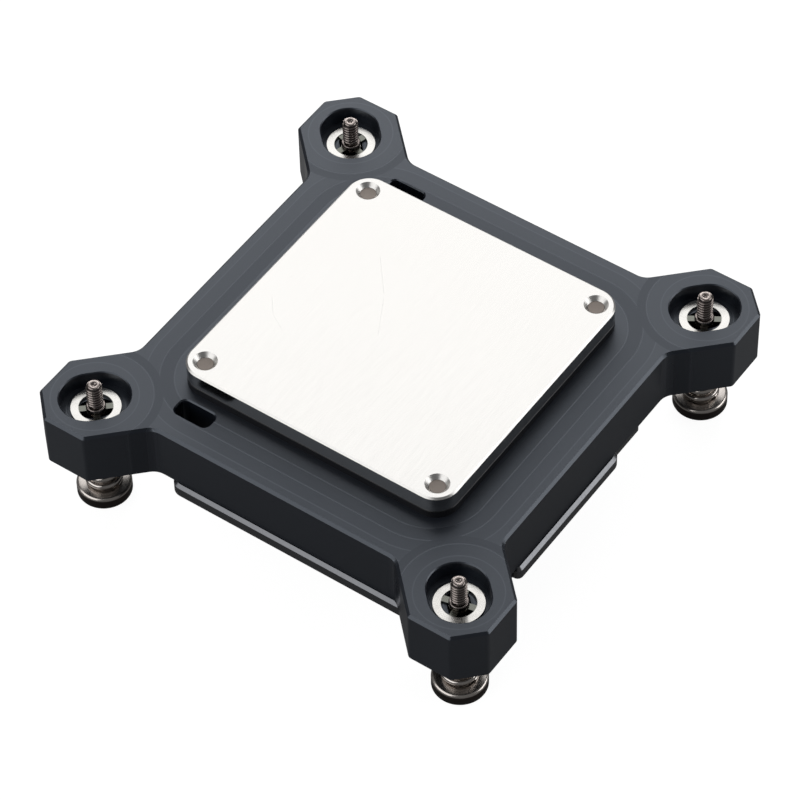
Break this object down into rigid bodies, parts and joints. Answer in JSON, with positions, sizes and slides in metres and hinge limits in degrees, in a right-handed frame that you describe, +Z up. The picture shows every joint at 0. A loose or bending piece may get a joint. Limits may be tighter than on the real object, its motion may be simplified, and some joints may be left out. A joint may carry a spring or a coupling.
{
  "type": "water cooling block",
  "caption": "Square water cooling block with a bright cold plate, a black four-armed hold-down frame and sprung corner screws.",
  "frame": {"origin": "on the surface that the block stands on, under the centre of the cold plate", "axes": "+X and +Y along the sides of the square block, +Z up out of the cold plate's face"},
  "size_m": [0.0986, 0.0986, 0.0316],
  "materials": {
    "nickel_plate": "bright nickel plating, lapped",
    "seal_rubber": "matte",
    "jet_steel": "plain",
    "black_acetal": "machined",
    "black_anodised": "black anodised, satin",
    "black_cover": "black anodised, satin",
    "screw_steel": "plain",
    "nickel_steel": "nickel plated",
    "spring_wire": "nickel plated",
    "ring_steel": "bright, stamped"
  },
  "bodies": {
    "block": {"cold_plate": "nickel_plate", "plate_seal": "seal_rubber", "jet_plate": "jet_steel", "flow_body": "black_acetal", "hold_down_frame": "black_anodised", "cover_plate": "black_cover", "assembly_screws": "screw_steel"},
    "spring_front_right": {"coil_spring_front_right": "spring_wire"},
    "ring_front_right": {"retaining_ring_front_right": "ring_steel"},
    "screw_front_right": {"spring_screw_front_right": "nickel_steel"},
    "spring_back_right": {"coil_spring_back_right": "spring_wire"},
    "ring_back_right": {"retaining_ring_back_right": "ring_steel"},
    "screw_back_right": {"spring_screw_back_right": "nickel_steel"},
    "spring_back_left": {"coil_spring_back_left": "spring_wire"},
    "ring_back_left": {"retaining_ring_back_left": "ring_steel"},
    "screw_back_left": {"spring_screw_back_left": "nickel_steel"},
    "spring_front_left": {"coil_spring_front_left": "spring_wire"},
    "ring_front_left": {"retaining_ring_front_left": "ring_steel"},
    "screw_front_left": {"spring_screw_front_left": "nickel_steel"}
  },
  "joints": [
    {"name": "slot_slide_front_right", "type": "slide", "parent": "block", "child": "spring_front_right", "axis": [0.7071, -0.7071, 0], "range_m": [-0.00108, 0.00108]},
    {"name": "press_slide_front_right", "type": "slide", "parent": "spring_front_right", "child": "ring_front_right", "axis": [0, 0, 1], "range_m": [0, 0.0035], "stiffness_N_per_m": 5000, "springref_m": -0.003, "deforming": ["coil_spring_front_right"]},
    {"name": "screw_turn_front_right", "type": "hinge", "parent": "ring_front_right", "child": "screw_front_right", "pos_m": [0.04, -0.04, 0.015], "axis": [0, 0, 1], "continuous": true},
    {"name": "slot_slide_back_right", "type": "slide", "parent": "block", "child": "spring_back_right", "axis": [0.7071, 0.7071, 0], "range_m": [-0.00108, 0.00108]},
    {"name": "press_slide_back_right", "type": "slide", "parent": "spring_back_right", "child": "ring_back_right", "axis": [0, 0, 1], "range_m": [0, 0.0035], "stiffness_N_per_m": 5000, "springref_m": -0.003, "deforming": ["coil_spring_back_right"]},
    {"name": "screw_turn_back_right", "type": "hinge", "parent": "ring_back_right", "child": "screw_back_right", "pos_m": [0.04, 0.04, 0.015], "axis": [0, 0, 1], "continuous": true},
    {"name": "slot_slide_back_left", "type": "slide", "parent": "block", "child": "spring_back_left", "axis": [-0.7071, 0.7071, 0], "range_m": [-0.00108, 0.00108]},
    {"name": "press_slide_back_left", "type": "slide", "parent": "spring_back_left", "child": "ring_back_left", "axis": [0, 0, 1], "range_m": [0, 0.0035], "stiffness_N_per_m": 5000, "springref_m": -0.003, "deforming": ["coil_spring_back_left"]},
    {"name": "screw_turn_back_left", "type": "hinge", "parent": "ring_back_left", "child": "screw_back_left", "pos_m": [-0.04, 0.04, 0.015], "axis": [0, 0, 1], "continuous": true},
    {"name": "slot_slide_front_left", "type": "slide", "parent": "block", "child": "spring_front_left", "axis": [-0.7071, -0.7071, 0], "range_m": [-0.00108, 0.00108]},
    {"name": "press_slide_front_left", "type": "slide", "parent": "spring_front_left", "child": "ring_front_left", "axis": [0, 0, 1], "range_m": [0, 0.0035], "stiffness_N_per_m": 5000, "springref_m": -0.003, "deforming": ["coil_spring_front_left"]},
    {"name": "screw_turn_front_left", "type": "hinge", "parent": "ring_front_left", "child": "screw_front_left", "pos_m": [-0.04, -0.04, 0.015], "axis": [0, 0, 1], "continuous": true}
  ]
}
